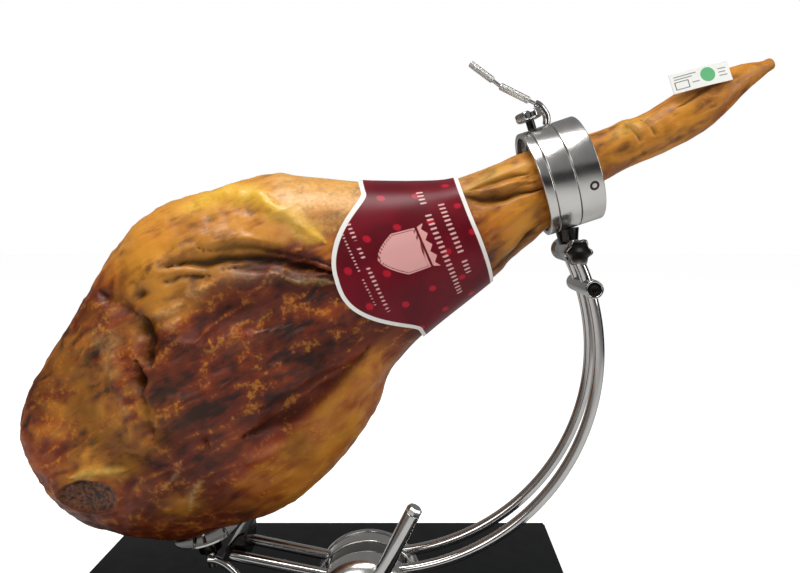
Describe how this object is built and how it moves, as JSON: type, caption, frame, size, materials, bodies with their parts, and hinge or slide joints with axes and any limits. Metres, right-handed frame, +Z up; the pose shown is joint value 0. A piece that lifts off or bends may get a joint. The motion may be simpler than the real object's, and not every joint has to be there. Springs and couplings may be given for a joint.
{
  "type": "cured ham in a carving stand",
  "caption": "Whole cured ham with a paper band, held by a steel collar on bent tubes over a spiked cup, on a flat board, with clamping knobs and a hub lever.",
  "frame": {"origin": "centre of the board's underside", "axes": "+X towards the foot of the ham, +Y away from the side that shows the hip bone, +Z up"},
  "size_m": [0.6676, 0.29, 0.5214],
  "materials": {
    "cured_meat": "cured rind, fat and dried meat, slightly oily",
    "label_paper": "glossy coated paper with a white border",
    "tag_card": "matt card",
    "black_board": "matt black lacquered board",
    "polished_steel": "polished stainless steel",
    "brushed_steel": "turned and brushed stainless steel",
    "dark_steel": "dark polished steel"
  },
  "bodies": {
    "stand": {"base_board": "black_board", "clamp_screw": "dark_steel", "cup_block": "dark_steel", "cup_dish": "polished_steel", "cup_post": "polished_steel", "cup_socket": "dark_steel", "cup_spike_1": "polished_steel", "cup_spike_2": "polished_steel", "cup_spike_3": "polished_steel", "cup_strut": "polished_steel", "foot_tag": "tag_card", "ham": "cured_meat", "handle_grip_inner": "brushed_steel", "handle_grip_outer": "brushed_steel", "handle_link": "brushed_steel", "handle_rod": "brushed_steel", "handle_tab": "polished_steel", "height_clamp": "polished_steel", "hinge_barrel": "polished_steel", "hub_back_plate": "polished_steel", "hub_band": "brushed_steel", "hub_front_cap": "brushed_steel", "hub_housing": "dark_steel", "label_band": "label_paper", "ring_left": "brushed_steel", "ring_middle": "brushed_steel", "ring_neck": "dark_steel", "ring_right": "brushed_steel", "set_screw": "dark_steel", "tube_back": "polished_steel", "tube_front": "polished_steel"},
    "hub_lever": {"hub_lever": "polished_steel", "lever_tip": "brushed_steel"},
    "star_knob": {"star_knob": "dark_steel"},
    "lock_knob": {"lock_knob": "polished_steel", "lock_stem": "dark_steel"}
  },
  "joints": [
    {"name": "lever_turn", "type": "hinge", "parent": "stand", "child": "hub_lever", "pos_m": [0.046, -0.0363, 0.041], "axis": [0, 1, 0], "range_deg": [-52, 40]},
    {"name": "star_knob_turn", "type": "hinge", "parent": "stand", "child": "star_knob", "pos_m": [0.23005, -0.026, 0.35548], "axis": [0, -1, 0], "range_deg": [0, 270]},
    {"name": "lock_knob_turn", "type": "hinge", "parent": "stand", "child": "lock_knob", "pos_m": [0.1947, 0, 0.46161], "axis": [-0.3173, 0, 0.9483], "range_deg": [0, 270]}
  ]
}
